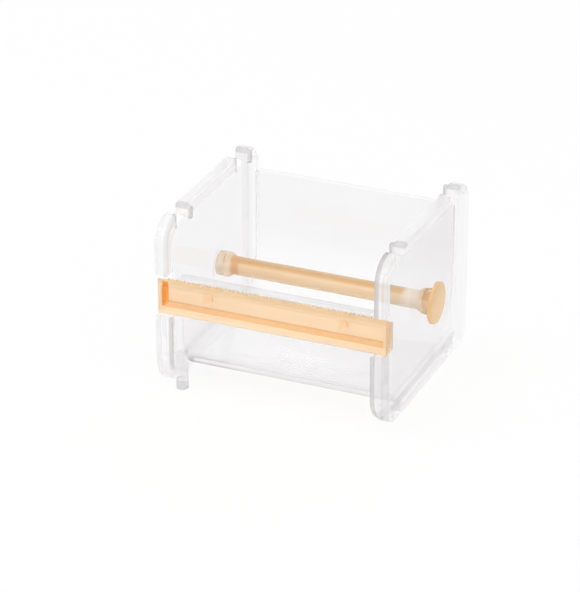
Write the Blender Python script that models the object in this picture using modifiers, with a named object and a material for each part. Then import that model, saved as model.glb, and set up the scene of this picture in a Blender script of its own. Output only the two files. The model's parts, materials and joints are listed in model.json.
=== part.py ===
"""Desktop masking-tape dispenser: a clear stackable case, a toothed cutter bar and a pull-out spindle.

Frame: metres, +Z up.  The cutter bar faces -Y, the spindle runs along X, and the origin lies on the
ground under the centre of the case.
"""
from math import atan2, cos, hypot, pi, sin, tan

import bmesh
import bpy
from mathutils import Vector

MM = 0.001

# Case
CASE_WIDTH = 100.0 * MM
CASE_DEPTH = 94.0 * MM
CASE_HEIGHT = 76.0 * MM
GAP = 0.3 * MM

# Side panels: a thin plate with a rim that stands outward round its edge
PLATE_THICKNESS = 1.8 * MM
PLATE_INSET = 0.4 * MM
RIM_STAND = 4.8 * MM
RIM_LIFT = 0.8 * MM
RIM_FRONT = 5.3 * MM
RIM_TOP = 5.0 * MM
RIM_REAR = 7.0 * MM
RIM_BOTTOM = 6.5 * MM
RIM_BEVEL = 1.2 * MM
FRONT_TOP_RADIUS = 10.3 * MM
FRONT_BOTTOM_RADIUS = 15.0 * MM
REAR_TOP_RADIUS = 12.0 * MM
REAR_BOTTOM_RADIUS = 7.0 * MM
LOWER_POST_WIDTH = 6.6 * MM
LOWER_POST_TOE = 15.6 * MM
LOWER_POST_BEVEL = 0.6 * MM

# Stacking sockets in the top rims, and the feet that fit them under the bottom rims
LINK_LENGTH = 9.0 * MM
LINK_DEPTH = 6.0 * MM
LINK_FRONT_SETBACK = 16.0 * MM
LINK_REAR_SETBACK = 76.0 * MM
FOOT_HEIGHT = 5.0 * MM
FOOT_INWARD = 1.6 * MM
FOOT_BEVEL = 0.6 * MM
LUG_STAND = 2.0 * MM
LUG_DEPTH = 2.2 * MM
LUG_SETBACK = 0.2 * MM
LUG_BEVEL = 0.4 * MM

# Round leg on the left panel's inner face, under the end of the bar
LEG_REACH = 3.7 * MM
LEG_SETBACK = 6.5 * MM
LEG_RADIUS = 2.6 * MM
LEG_HEIGHT = 17.0 * MM
LEG_BEVEL = 0.4 * MM
LEG_ARM_HALF = 2.1 * MM
LEG_ARM_BOTTOM = 9.3 * MM
LEG_ARM_TOP = 15.7 * MM

# Cutter bar
BAR_SETBACK = 2.2 * MM
BAR_DEPTH = 7.2 * MM
BAR_HEIGHT = 15.6 * MM
BAR_BOTTOM = 34.9 * MM
BAR_TOP_FALL = 3.5 * MM
BAR_RECESS_DEPTH = 4.6 * MM
BAR_LIP_TOP = 1.3 * MM
BAR_LIP_BOTTOM = 3.2 * MM
BAR_LIP_END = 1.7 * MM
TOOTH_PITCH = 2.0 * MM
TOOTH_HEIGHT = 1.2 * MM
TOOTH_THICKNESS = 0.9 * MM
TOOTH_ROOT = 0.4 * MM
TOOTH_SETBACK = 0.05 * MM
TEETH_END_MARGIN = 4.0 * MM

# Pins that hold the cutter bar on the tray
PIN_END_MARGIN = 20.5 * MM
PIN_HEIGHT_IN_BAR = 8.1 * MM
PIN_RADIUS = 1.2 * MM
PIN_HEAD_RADIUS = 2.1 * MM
PIN_HEAD_HEIGHT = 0.8 * MM
PIN_BOSS_RADIUS = 3.0 * MM

# Tray
TRAY_WALL = 2.0 * MM
TRAY_LIFT = 1.0 * MM
TRAY_FRONT_SETBACK = 14.0 * MM
TRAY_BACK_SETBACK = 91.5 * MM
TRAY_FRONT_RADIUS = 18.0 * MM
TRAY_BACK_RADIUS = 28.0 * MM
TRAY_FRONT_TOP = 47.5 * MM
TRAY_BACK_TOP = 63.8 * MM
TRAY_EDGE_RADIUS = 0.8 * MM

# Spindle
SPINDLE_SETBACK = 60.0 * MM
SPINDLE_HEIGHT = 32.1 * MM
ROLLER_RADIUS = 4.0 * MM
ROLLER_BORE_RADIUS = 2.8 * MM
ROLLER_FLANGE_RADIUS = 5.4 * MM
ROLLER_FLANGE_THICKNESS = 1.2 * MM
ROLLER_FLARE = 2.4 * MM
AXLE_RADIUS = 2.5 * MM
HEAD_RADIUS = 5.3 * MM
HEAD_PROUD = 1.4 * MM
HUB_RADIUS = 5.7 * MM
HUB_PROUD = 1.3 * MM
KNOB_RADIUS = 9.0 * MM
KNOB_THICKNESS = 1.6 * MM
SOCKET_DEPTH = 2.4 * MM
BOSS_WIDTH = 3.6 * MM
BOSS_HEIGHT = 0.6 * MM

ARC_STEPS = 6
TURN_STEPS = 32

# Places that follow from the sizes above
HALF_WIDTH = CASE_WIDTH / 2
FRONT = -CASE_DEPTH / 2
BACK = CASE_DEPTH / 2
PLATE_INNER = HALF_WIDTH - RIM_STAND
PLATE_OUTER = PLATE_INNER + PLATE_THICKNESS
BAR_FRONT = FRONT + BAR_SETBACK
BAR_REAR = BAR_FRONT + BAR_DEPTH
BAR_TOP = BAR_BOTTOM + BAR_HEIGHT
TEETH_TOP = BAR_TOP + TOOTH_HEIGHT
TRAY_FRONT = FRONT + TRAY_FRONT_SETBACK
TRAY_BACK = FRONT + TRAY_BACK_SETBACK
TRAY_END = PLATE_INNER - GAP
PIN_X = HALF_WIDTH - PIN_END_MARGIN
SPINDLE_Y = FRONT + SPINDLE_SETBACK
LEFT_HOLE_RADIUS = HEAD_RADIUS + GAP
RIGHT_HOLE_RADIUS = max(HUB_RADIUS, ROLLER_FLANGE_RADIUS, HEAD_RADIUS) + GAP
COLLAR_INNER = PLATE_INNER - GAP / 3
ROLLER_END = COLLAR_INNER - GAP


def clear_scene():
    for old in list(bpy.data.objects):
        bpy.data.objects.remove(old, do_unlink=True)


def make_collection(name):
    collection = bpy.data.collections.new(name)
    bpy.context.scene.collection.children.link(collection)
    return collection


def make_material(name, colour, roughness):
    material = bpy.data.materials.new(name)
    material.use_nodes = True
    shader = material.node_tree.nodes["Principled BSDF"]
    shader.inputs["Base Color"].default_value = colour
    shader.inputs["Roughness"].default_value = roughness
    shader.inputs["Metallic"].default_value = 0.0
    return material


def add_object(name, mesh, collection, material=None):
    obj = bpy.data.objects.new(name, mesh)
    collection.objects.link(obj)
    if material:
        mesh.materials.clear()
        mesh.materials.append(material)
    if collection is CUTTERS:
        obj.hide_render = True
        obj.display_type = "WIRE"
    return obj


def rounded(corners):
    """Points of a closed outline; each corner is (u, v, fillet radius)."""
    points = []
    count = len(corners)
    for index, (u, v, radius) in enumerate(corners):
        here = Vector((u, v))
        if radius <= 0:
            points.append(here)
            continue
        before = (Vector(corners[index - 1][:2]) - here).normalized()
        after = (Vector(corners[(index + 1) % count][:2]) - here).normalized()
        half = before.angle(after) / 2
        centre = here + (before + after).normalized() * radius / sin(half)
        start = here + before * radius / tan(half) - centre
        end = here + after * radius / tan(half) - centre
        turn = atan2(start.x * end.y - start.y * end.x, start.dot(end))
        first = atan2(start.y, start.x)
        for step in range(ARC_STEPS + 1):
            angle = first + turn * step / ARC_STEPS
            points.append(centre + Vector((cos(angle), sin(angle))) * radius)
    return points


def plate(name, outlines, x_low, x_high, collection, material=None):
    """A flat piece in a YZ plane between two X values; outlines after the first are windows."""
    curve = bpy.data.curves.new(name + "_outline", "CURVE")
    curve.dimensions = "2D"
    curve.fill_mode = "BOTH"
    curve.extrude = (x_high - x_low) / 2
    for points in outlines:
        spline = curve.splines.new("POLY")
        spline.points.add(len(points) - 1)
        for slot, point in zip(spline.points, points):
            slot.co = (point[0], point[1], 0.0, 1.0)
        spline.use_cyclic_u = True
    guide = bpy.data.objects.new(name + "_guide", curve)
    guide.rotation_euler = (pi / 2, 0.0, pi / 2)
    guide.location.x = (x_low + x_high) / 2
    CUTTERS.objects.link(guide)
    bpy.context.view_layer.update()
    evaluated = guide.evaluated_get(bpy.context.evaluated_depsgraph_get())
    mesh = bpy.data.meshes.new_from_object(evaluated)
    mesh.name = name
    work = bmesh.new()
    work.from_mesh(mesh)
    bmesh.ops.remove_doubles(work, verts=work.verts, dist=0.01 * MM)
    bmesh.ops.recalc_face_normals(work, faces=work.faces)
    work.to_mesh(mesh)
    work.free()
    obj = add_object(name, mesh, collection, material)
    obj.matrix_world = guide.matrix_world
    bpy.data.objects.remove(guide, do_unlink=True)
    return obj


def box(name, x_range, y_range, z_range, collection, material=None):
    mesh = bpy.data.meshes.new(name)
    work = bmesh.new()
    bmesh.ops.create_cube(work, size=1.0)
    size = Vector([high - low for low, high in (x_range, y_range, z_range)])
    bmesh.ops.scale(work, vec=size, verts=work.verts)
    work.to_mesh(mesh)
    work.free()
    obj = add_object(name, mesh, collection, material)
    obj.location = [(low + high) / 2 for low, high in (x_range, y_range, z_range)]
    return obj


def rod(name, radius, start, end, collection, material=None, steps=TURN_STEPS):
    """A cylinder between two points."""
    mesh = bpy.data.meshes.new(name)
    axis = Vector(end) - Vector(start)
    work = bmesh.new()
    bmesh.ops.create_cone(work, cap_ends=True, segments=steps, radius1=radius, radius2=radius,
                          depth=axis.length)
    work.to_mesh(mesh)
    work.free()
    obj = add_object(name, mesh, collection, material)
    obj.rotation_euler = axis.to_track_quat("Z", "Y").to_euler()
    obj.location = (Vector(start) + Vector(end)) / 2
    return obj


def turned(name, profile, origin, material, closed=False):
    """A shape turned about the X axis through origin; profile points are (radius, x)."""
    mesh = bpy.data.meshes.new(name)
    verts = [(radius, 0.0, along) for radius, along in profile]
    edges = [(i, i + 1) for i in range(len(verts) - 1)]
    if closed:
        edges.append((len(verts) - 1, 0))
    mesh.from_pydata(verts, edges, [])
    obj = add_object(name, mesh, PARTS, material)
    obj.location = origin
    obj.rotation_euler = (0.0, pi / 2, 0.0)
    screw = obj.modifiers.new("Turn", "SCREW")
    screw.axis = "Z"
    screw.steps = TURN_STEPS
    screw.render_steps = TURN_STEPS
    screw.use_merge_vertices = True
    screw.merge_threshold = 0.01 * MM
    screw.use_smooth_shade = False
    return obj


def boolean(target, operation, tool):
    modifier = target.modifiers.new(operation.title(), "BOOLEAN")
    modifier.operation = operation
    modifier.solver = "EXACT"
    modifier.object = tool
    return modifier


def bevel(target, width, segments=2):
    modifier = target.modifiers.new("Bevel", "BEVEL")
    modifier.width = width
    modifier.segments = segments
    modifier.limit_method = "ANGLE"
    modifier.angle_limit = pi / 4
    modifier.use_clamp_overlap = True
    return modifier


def panel_outline(inset_front, inset_rear, inset_top, inset_bottom):
    """The side panel's outline in (y, z), moved in by an inset on each edge."""
    front = FRONT + inset_front
    rear = BACK - inset_rear
    top = CASE_HEIGHT - inset_top
    bottom = RIM_LIFT + inset_bottom
    front_top_radius = max(FRONT_TOP_RADIUS - inset_front, MM)
    front_bottom_radius = max(FRONT_BOTTOM_RADIUS - inset_front, MM)
    rear_bottom_radius = max(REAR_BOTTOM_RADIUS - inset_rear, MM)
    rear_top_radius = max(REAR_TOP_RADIUS - inset_rear, MM)
    return rounded([(front, bottom, front_bottom_radius), (rear, bottom, rear_bottom_radius),
                    (rear, top, rear_top_radius), (front, top, front_top_radius)])


def span(side, near, far):
    """An X range at the given distances from the middle, on one side of the case."""
    return tuple(sorted((side * near, side * far)))


def post_outline():
    """The front post's inner thickening in (y, z): down from the bar and round the lower corner."""
    front = FRONT + 2 * PLATE_INSET
    inner = FRONT + RIM_FRONT - PLATE_INSET
    toe = FRONT + LOWER_POST_TOE
    bottom = RIM_LIFT + 2 * PLATE_INSET
    sill = RIM_LIFT + RIM_BOTTOM - PLATE_INSET
    top = BAR_BOTTOM - GAP - 2 * PLATE_INSET
    return rounded([(front, top, 0.0), (front, bottom, FRONT_BOTTOM_RADIUS - 2 * PLATE_INSET), (toe, bottom, 0.0),
                    (toe, sill, 0.0), (inner, sill, FRONT_BOTTOM_RADIUS - RIM_FRONT + PLATE_INSET),
                    (inner, top, 0.0)])


def add_leg(web, name, side):
    """A round leg that stands on the floor, held to the panel by an arm."""
    x = side * (PLATE_INNER - LEG_REACH)
    y = FRONT + LEG_SETBACK
    arm = box(name + "_leg_arm", span(side, PLATE_INNER - LEG_REACH, PLATE_INNER + PLATE_THICKNESS / 3),
              (y - LEG_ARM_HALF, y + LEG_ARM_HALF), (LEG_ARM_BOTTOM, LEG_ARM_TOP), CUTTERS)
    leg = rod(name + "_leg", LEG_RADIUS, (x, y, 0.0), (x, y, LEG_HEIGHT), CUTTERS, steps=20)
    bevel(leg, LEG_BEVEL, 1)
    boolean(web, "UNION", arm)
    boolean(web, "UNION", leg)


def side_panel(name, side, hole_radius):
    rim_out = panel_outline(0.0, 0.0, 0.0, 0.0)
    rim_in = panel_outline(RIM_FRONT, RIM_REAR, RIM_TOP, RIM_BOTTOM)
    rim_x = span(side, PLATE_INNER + PLATE_INSET, HALF_WIDTH)
    panel = plate(name, [rim_out, rim_in], *rim_x, PARTS, CLEAR)

    reach = span(side, PLATE_INNER - LOWER_POST_WIDTH, HALF_WIDTH + RIM_STAND)
    bar_slot = box(name + "_bar_slot", reach, (FRONT - BAR_DEPTH, BAR_REAR + GAP),
                   (BAR_BOTTOM - GAP, TEETH_TOP + 2 * GAP), CUTTERS)
    boolean(panel, "DIFFERENCE", bar_slot)
    sockets = []
    for place, setback in (("front", LINK_FRONT_SETBACK), ("rear", LINK_REAR_SETBACK)):
        start = FRONT + setback - LINK_LENGTH / 2
        end = start + LINK_LENGTH
        high = (CASE_HEIGHT - LINK_DEPTH, CASE_HEIGHT + LINK_DEPTH)
        socket = box(f"{name}_socket_{place}", reach, (start, end), high, CUTTERS)
        notch = box(f"{name}_notch_{place}", reach, (start, end), (-LINK_DEPTH, FOOT_HEIGHT + GAP), CUTTERS)
        boolean(panel, "DIFFERENCE", socket)
        boolean(panel, "DIFFERENCE", notch)
        sockets.append(box(f"{name}_web_socket_{place}", reach, (start - PLATE_INSET, end + PLATE_INSET),
                           high, CUTTERS))
    bevel(panel, RIM_BEVEL)

    inset = [PLATE_INSET] * 4
    web_x = span(side, PLATE_INNER, PLATE_OUTER)
    web = plate(name + "_web", [panel_outline(*inset)], *web_x, CUTTERS)
    boolean(web, "DIFFERENCE", bar_slot)
    for socket in sockets:
        boolean(web, "DIFFERENCE", socket)

    arm_x = PLATE_INNER + PLATE_THICKNESS / 2
    for place, setback in (("front", LINK_FRONT_SETBACK), ("rear", LINK_REAR_SETBACK)):
        end = FRONT + setback + LINK_LENGTH / 2 + LUG_SETBACK
        lug = box(f"{name}_lug_{place}", span(side, PLATE_INNER - LUG_STAND, arm_x), (end, end + LUG_DEPTH),
                  (CASE_HEIGHT - LINK_DEPTH, CASE_HEIGHT - 2 * PLATE_INSET), CUTTERS)
        bevel(lug, LUG_BEVEL, 1)
        boolean(web, "UNION", lug)

    for place, setback, inner in (("front", LINK_FRONT_SETBACK, PLATE_INNER - FOOT_INWARD),
                                  ("rear", LINK_REAR_SETBACK, PLATE_INNER + PLATE_INSET)):
        centre = FRONT + setback
        half = LINK_LENGTH / 2 - GAP
        foot = box(f"{name}_foot_{place}", span(side, inner, HALF_WIDTH - PLATE_INSET),
                   (centre - half, centre + half), (0.0, FOOT_HEIGHT), CUTTERS)
        bevel(foot, FOOT_BEVEL, 1)
        boolean(web, "UNION", foot)

    axis = (SPINDLE_Y, SPINDLE_HEIGHT)
    boss = rod(name + "_boss", hole_radius + BOSS_WIDTH, (side * (PLATE_INNER + PLATE_INSET), *axis),
               (side * (PLATE_OUTER + BOSS_HEIGHT), *axis), CUTTERS)
    hole = rod(name + "_hole", hole_radius, (side * (PLATE_INNER - RIM_STAND), *axis),
               (side * (HALF_WIDTH + RIM_STAND), *axis), CUTTERS)
    boolean(web, "UNION", boss)
    boolean(web, "DIFFERENCE", hole)
    if side < 0:
        add_leg(web, name, side)
    post = plate(name + "_lower_post", [post_outline()], *span(side, HALF_WIDTH - LOWER_POST_WIDTH, arm_x), CUTTERS)
    bevel(post, LOWER_POST_BEVEL, 1)
    boolean(web, "UNION", post)
    boolean(panel, "UNION", web)
    return panel


def tray():
    wall = TRAY_WALL
    ledge_front = BAR_REAR + GAP
    outline = rounded([
        (ledge_front, TRAY_FRONT_TOP, 0.0),
        (ledge_front, TRAY_FRONT_TOP - wall, 0.0),
        (TRAY_FRONT, TRAY_FRONT_TOP - wall, 0.0),
        (TRAY_FRONT, TRAY_LIFT, TRAY_FRONT_RADIUS),
        (TRAY_BACK, TRAY_LIFT, TRAY_BACK_RADIUS),
        (TRAY_BACK, TRAY_BACK_TOP, TRAY_EDGE_RADIUS),
        (TRAY_BACK - wall, TRAY_BACK_TOP, TRAY_EDGE_RADIUS),
        (TRAY_BACK - wall, TRAY_LIFT + wall, TRAY_BACK_RADIUS - wall),
        (TRAY_FRONT + wall, TRAY_LIFT + wall, TRAY_FRONT_RADIUS - wall),
        (TRAY_FRONT + wall, TRAY_FRONT_TOP, TRAY_EDGE_RADIUS),
    ])
    trough = plate("tray", [outline], -TRAY_END, TRAY_END, PARTS, CLEAR)
    for mark, x in (("left", -PIN_X), ("right", PIN_X)):
        height = BAR_BOTTOM + PIN_HEIGHT_IN_BAR
        boss = rod(f"tray_boss_{mark}", PIN_BOSS_RADIUS, (x, ledge_front, height),
                   (x, TRAY_FRONT + wall / 2, height), CUTTERS, steps=20)
        bore = rod(f"tray_bore_{mark}", PIN_RADIUS + GAP, (x, ledge_front - wall, height),
                   (x, TRAY_FRONT + wall * 2, height), CUTTERS, steps=12)
        boolean(trough, "UNION", boss)
        boolean(trough, "DIFFERENCE", bore)
    return trough


def cutter_bar():
    section = [(BAR_FRONT, BAR_BOTTOM), (BAR_REAR, BAR_BOTTOM),
               (BAR_REAR, BAR_TOP - BAR_TOP_FALL), (BAR_FRONT, BAR_TOP)]
    bar = plate("cutter_bar", [section], -HALF_WIDTH, HALF_WIDTH, PARTS, ORANGE)
    recess_top = BAR_TOP - BAR_LIP_TOP - BAR_TOP_FALL * BAR_RECESS_DEPTH / BAR_DEPTH
    recess = box("bar_recess", (-HALF_WIDTH + BAR_LIP_END, HALF_WIDTH - BAR_LIP_END),
                 (BAR_FRONT - BAR_DEPTH, BAR_FRONT + BAR_RECESS_DEPTH),
                 (BAR_BOTTOM + BAR_LIP_BOTTOM, recess_top), CUTTERS)
    boolean(bar, "DIFFERENCE", recess)

    count = int((CASE_WIDTH - 2 * TEETH_END_MARGIN) / TOOTH_PITCH)
    first = -count * TOOTH_PITCH / 2
    valley = BAR_TOP - TOOTH_ROOT
    outline = [(-first, valley - TOOTH_ROOT), (first, valley - TOOTH_ROOT)]
    for step in range(2 * count + 1):
        outline.append((first + step * TOOTH_PITCH / 2, TEETH_TOP if step % 2 else valley))
    teeth = plate("bar_teeth", [outline], BAR_FRONT, BAR_FRONT + TOOTH_THICKNESS, CUTTERS)
    teeth.rotation_euler = (pi / 2, 0.0, 0.0)
    teeth.location = (0.0, BAR_FRONT + TOOTH_THICKNESS / 2 + TOOTH_SETBACK, 0.0)
    boolean(bar, "UNION", teeth)
    for mark, x in (("left", -PIN_X), ("right", PIN_X)):
        height = BAR_BOTTOM + PIN_HEIGHT_IN_BAR
        bore = rod(f"bar_bore_{mark}", PIN_RADIUS + GAP, (x, BAR_FRONT - BAR_DEPTH, height),
                   (x, BAR_REAR + BAR_DEPTH, height), CUTTERS, steps=12)
        boolean(bar, "DIFFERENCE", bore)
    return bar


def bar_pin(name, x):
    """A headed pin through the bar's web into the tray's boss."""
    height = BAR_BOTTOM + PIN_HEIGHT_IN_BAR
    head_rear = BAR_FRONT + BAR_RECESS_DEPTH - GAP
    head_front = head_rear - PIN_HEAD_HEIGHT
    pin = rod(name, PIN_HEAD_RADIUS, (x, head_front, height), (x, head_rear, height), PARTS, ORANGE, steps=16)
    shank = rod(name + "_shank", PIN_RADIUS, (x, (head_front + head_rear) / 2, height),
                (x, TRAY_FRONT + TRAY_WALL, height), CUTTERS, steps=12)
    boolean(pin, "UNION", shank)
    return pin


def roller():
    tip = ROLLER_END
    flat = tip - ROLLER_FLANGE_THICKNESS
    neck = flat - ROLLER_FLARE
    outer = [(ROLLER_FLANGE_RADIUS, tip), (ROLLER_FLANGE_RADIUS, flat), (ROLLER_RADIUS, neck)]
    mirrored = [(radius, -along) for radius, along in reversed(outer)]
    profile = outer + mirrored + [(ROLLER_BORE_RADIUS, -tip), (ROLLER_BORE_RADIUS, tip)]
    return turned("roller", profile, SPINDLE, ORANGE, closed=True)


def knob():
    face = PLATE_OUTER + HUB_PROUD
    outer = face + KNOB_THICKNESS
    soft = KNOB_THICKNESS / 4
    bore = AXLE_RADIUS + GAP
    profile = [(0.0, outer), (KNOB_RADIUS - soft, outer), (KNOB_RADIUS, outer - soft),
               (KNOB_RADIUS, face), (HUB_RADIUS, face), (HUB_RADIUS, COLLAR_INNER),
               (bore, COLLAR_INNER), (bore, COLLAR_INNER + SOCKET_DEPTH), (0.0, COLLAR_INNER + SOCKET_DEPTH)]
    return turned("knob", profile, SPINDLE, ORANGE)


def axle_head():
    outer = -(PLATE_OUTER + HEAD_PROUD)
    bore = AXLE_RADIUS + GAP
    soft = HEAD_PROUD / 3
    profile = [(0.0, -COLLAR_INNER - SOCKET_DEPTH), (bore, -COLLAR_INNER - SOCKET_DEPTH),
               (bore, -COLLAR_INNER), (HEAD_RADIUS, -COLLAR_INNER), (HEAD_RADIUS, outer + soft),
               (HEAD_RADIUS - soft, outer), (0.0, outer)]
    return turned("axle_head", profile, SPINDLE, ORANGE)


def axle():
    end = COLLAR_INNER + SOCKET_DEPTH - GAP
    return turned("axle", [(0.0, end), (AXLE_RADIUS, end), (AXLE_RADIUS, -end), (0.0, -end)], SPINDLE, ORANGE)


clear_scene()
PARTS = make_collection("masking_tape_dispenser")
CUTTERS = make_collection("cutters")
CLEAR = make_material("clear_polystyrene", (0.90, 0.91, 0.92, 1.0), 0.06)
ORANGE = make_material("orange_polystyrene", (0.96, 0.62, 0.28, 1.0), 0.16)
SPINDLE = Vector((0.0, SPINDLE_Y, SPINDLE_HEIGHT))

side_panel("side_panel_left", -1, LEFT_HOLE_RADIUS)
side_panel("side_panel_right", 1, RIGHT_HOLE_RADIUS)
tray()
cutter_bar()
bar_pin("bar_pin_left", -PIN_X)
bar_pin("bar_pin_right", PIN_X)
roller()
axle()
axle_head()
knob()
bpy.context.view_layer.update()
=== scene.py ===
"""Looks of the desktop masking tape dispenser: clear case, orange cutter bar and pull-out spindle."""
import json
from math import atan2, cos, pi, radians, sin, tan

import bmesh
import bpy
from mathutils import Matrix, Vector

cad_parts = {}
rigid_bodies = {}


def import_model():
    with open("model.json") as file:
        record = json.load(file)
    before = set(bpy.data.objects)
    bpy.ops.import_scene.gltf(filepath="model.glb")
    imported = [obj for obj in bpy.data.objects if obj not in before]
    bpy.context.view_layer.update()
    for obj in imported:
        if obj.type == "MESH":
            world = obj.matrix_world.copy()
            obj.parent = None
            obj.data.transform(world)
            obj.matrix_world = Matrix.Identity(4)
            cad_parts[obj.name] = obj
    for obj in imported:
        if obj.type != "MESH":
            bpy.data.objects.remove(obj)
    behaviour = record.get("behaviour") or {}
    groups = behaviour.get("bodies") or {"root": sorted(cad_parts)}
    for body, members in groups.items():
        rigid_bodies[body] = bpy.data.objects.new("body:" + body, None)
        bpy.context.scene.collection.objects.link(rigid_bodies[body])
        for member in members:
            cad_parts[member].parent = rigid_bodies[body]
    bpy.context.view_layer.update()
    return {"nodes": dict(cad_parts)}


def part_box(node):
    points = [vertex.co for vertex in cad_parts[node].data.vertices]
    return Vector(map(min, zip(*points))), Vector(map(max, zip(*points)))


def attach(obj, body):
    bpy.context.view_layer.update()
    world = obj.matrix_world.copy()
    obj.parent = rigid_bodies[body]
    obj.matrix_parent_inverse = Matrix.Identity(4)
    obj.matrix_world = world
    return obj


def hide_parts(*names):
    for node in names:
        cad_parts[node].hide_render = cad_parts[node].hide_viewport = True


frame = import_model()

MM = 0.001

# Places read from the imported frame
PANEL_LOW, PANEL_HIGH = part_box("side_panel_right")
TRAY_LOW, TRAY_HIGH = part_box("tray")
BAR_LOW, BAR_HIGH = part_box("cutter_bar")
ROLLER_LOW, ROLLER_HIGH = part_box("roller")
AXLE_LOW, AXLE_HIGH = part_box("axle")
HEAD_LOW, HEAD_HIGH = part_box("axle_head")
KNOB_LOW, KNOB_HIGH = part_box("knob")
PIN_LOW, PIN_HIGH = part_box("bar_pin_right")

HALF_WIDTH = PANEL_HIGH.x
FRONT = PANEL_LOW.y
BACK = PANEL_HIGH.y
HEIGHT = PANEL_HIGH.z
GAP = 0.3 * MM

# Side panels
PLATE_INNER = TRAY_HIGH.x + GAP
PLATE_THICKNESS = 1.8 * MM
PLATE_OUTER = PLATE_INNER + PLATE_THICKNESS
PLATE_INSET = 0.4 * MM
RIM_LIFT = 0.8 * MM
RIM_FRONT = 5.3 * MM
RIM_TOP = 5.0 * MM
RIM_REAR = 7.0 * MM
RIM_BOTTOM = 6.5 * MM
RIM_ROUND = 1.5 * MM
FRONT_TOP_RADIUS = 10.3 * MM
FRONT_BOTTOM_RADIUS = 15.0 * MM
REAR_TOP_RADIUS = 12.0 * MM
REAR_BOTTOM_RADIUS = 7.0 * MM
LOWER_POST_WIDTH = 6.6 * MM
LOWER_POST_ROUND = 0.7 * MM
LOWER_POST_TOE = 15.6 * MM
LINK_LENGTH = 9.0 * MM
LINK_DEPTH = 6.0 * MM
LINK_FRONT = FRONT + 16.0 * MM
LINK_REAR = FRONT + 76.0 * MM
LINK_ROUND = 0.5 * MM
FOOT_HEIGHT = 5.0 * MM
FOOT_INWARD = 1.6 * MM
FOOT_ROUND = 0.9 * MM
LUG_STAND = 2.0 * MM
LUG_DEPTH = 2.2 * MM
LUG_SETBACK = 0.2 * MM
LUG_ROUND = 0.4 * MM
LEG_REACH = 3.7 * MM
LEG_X = -(PLATE_INNER - LEG_REACH)
LEG_Y = FRONT + 6.5 * MM
LEG_RADIUS = 2.6 * MM
LEG_NECK_RADIUS = 2.4 * MM
LEG_CAP_HEIGHT = 3.5 * MM
LEG_HEIGHT = 17.0 * MM
LEG_ROUND = 0.7 * MM
LEG_ARM_HALF = 2.1 * MM
LEG_ARM_BOTTOM = 9.3 * MM
LEG_ARM_TOP = 15.7 * MM
BOSS_WIDTH = 3.6 * MM
BOSS_HEIGHT = 0.6 * MM
BOSS_ROUND = 0.25 * MM

# Cutter bar
BAR_FRONT = BAR_LOW.y
BAR_REAR = BAR_HIGH.y
BAR_DEPTH = BAR_REAR - BAR_FRONT
BAR_BOTTOM = BAR_LOW.z
TOOTH_HEIGHT = 1.2 * MM
BAR_TOP = BAR_HIGH.z - TOOTH_HEIGHT
BAR_TOP_FALL = 3.5 * MM
BAR_RECESS_DEPTH = 4.6 * MM
BAR_LIP_TOP = 1.3 * MM
BAR_LIP_BOTTOM = 3.2 * MM
BAR_LIP_END = 1.7 * MM
BAR_ROUND = 0.35 * MM
RECESS_BACK = BAR_FRONT + BAR_RECESS_DEPTH
TOOTH_PITCH = 1.8 * MM
TOOTH_THICKNESS = 0.8 * MM
TOOTH_RAKE = 0.15
TOOTH_SPREAD = 0.98
TOOTH_SETBACK = 0.15 * MM
TOOTH_ROOT = 0.25 * MM
TEETH_MARGIN = 4.0 * MM
PIN_X = (PIN_LOW.x + PIN_HIGH.x) / 2
PIN_Z = (PIN_LOW.z + PIN_HIGH.z) / 2
PIN_RADIUS = 1.2 * MM

# Tray
TRAY_WALL = 2.0 * MM
TRAY_FRONT = FRONT + 14.0 * MM
TRAY_FRONT_TOP = 47.5 * MM
TRAY_FRONT_RADIUS = 18.0 * MM
TRAY_BACK_RADIUS = 28.0 * MM
TRAY_EDGE_RADIUS = 0.8 * MM
TRAY_LEDGE_RADIUS = 0.4 * MM
TRAY_INNER_RADIUS = 0.5 * MM
TRAY_END_ROUND = 0.25 * MM
PIN_BOSS_RADIUS = 3.0 * MM

# Spindle
SPINDLE_Y = (AXLE_LOW.y + AXLE_HIGH.y) / 2
SPINDLE_Z = (AXLE_LOW.z + AXLE_HIGH.z) / 2
ROLLER_RADIUS = 4.0 * MM
ROLLER_BORE = 2.8 * MM
FLANGE_RADIUS = ROLLER_HIGH.z - SPINDLE_Z
FLANGE_THICKNESS = 1.2 * MM
FLARE = 2.4 * MM
AXLE_RADIUS = AXLE_HIGH.z - SPINDLE_Z
HEAD_RADIUS = HEAD_HIGH.z - SPINDLE_Z
HUB_RADIUS = 5.7 * MM
HUB_PROUD = 1.3 * MM
KNOB_RADIUS = KNOB_HIGH.z - SPINDLE_Z
SOCKET_DEPTH = 2.4 * MM
ROLLER_ROUND = 0.5 * MM
AXLE_ROUND = 0.3 * MM
HEAD_ROUND = 0.4 * MM
KNOB_ROUND = 0.35 * MM

# A step that keeps two joined shapes from sharing a plane, the reach within which points count as one, and
# the turn below which two faces count as flat
SHIM = 0.05 * MM
WELD = 0.005 * MM
FLAT_ANGLE = radians(0.1)

# Segments of a fillet, of the tray's fillets, of a turned shape, of a leg and of a peg
ARC_STEPS = 12
TRAY_ARC_STEPS = 16
TURN_STEPS = 72
LEG_STEPS = 48
PEG_STEPS = 40


# ---------------------------------------------------------------- finishes

# Shares of light that pass through a clear piece unbent; the web's and the far rim's come on top of the rim's
PANEL_RIM_STRAIGHT = 0.80
PANEL_WEB_STRAIGHT = 0.14
FAR_RIM_STRAIGHT = 0.17
TROUGH_STRAIGHT = 0.90
TROUGH_BACK_STRAIGHT = 0.35

# Shares that the panels' thick rims scatter white; on the top rims it also stands in for a painted highlight
TOP_RIM_MILK_AND_HIGHLIGHT = 0.37
POST_HAZE = 0.25
UPPER_POST_HAZE = 0.28
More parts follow.
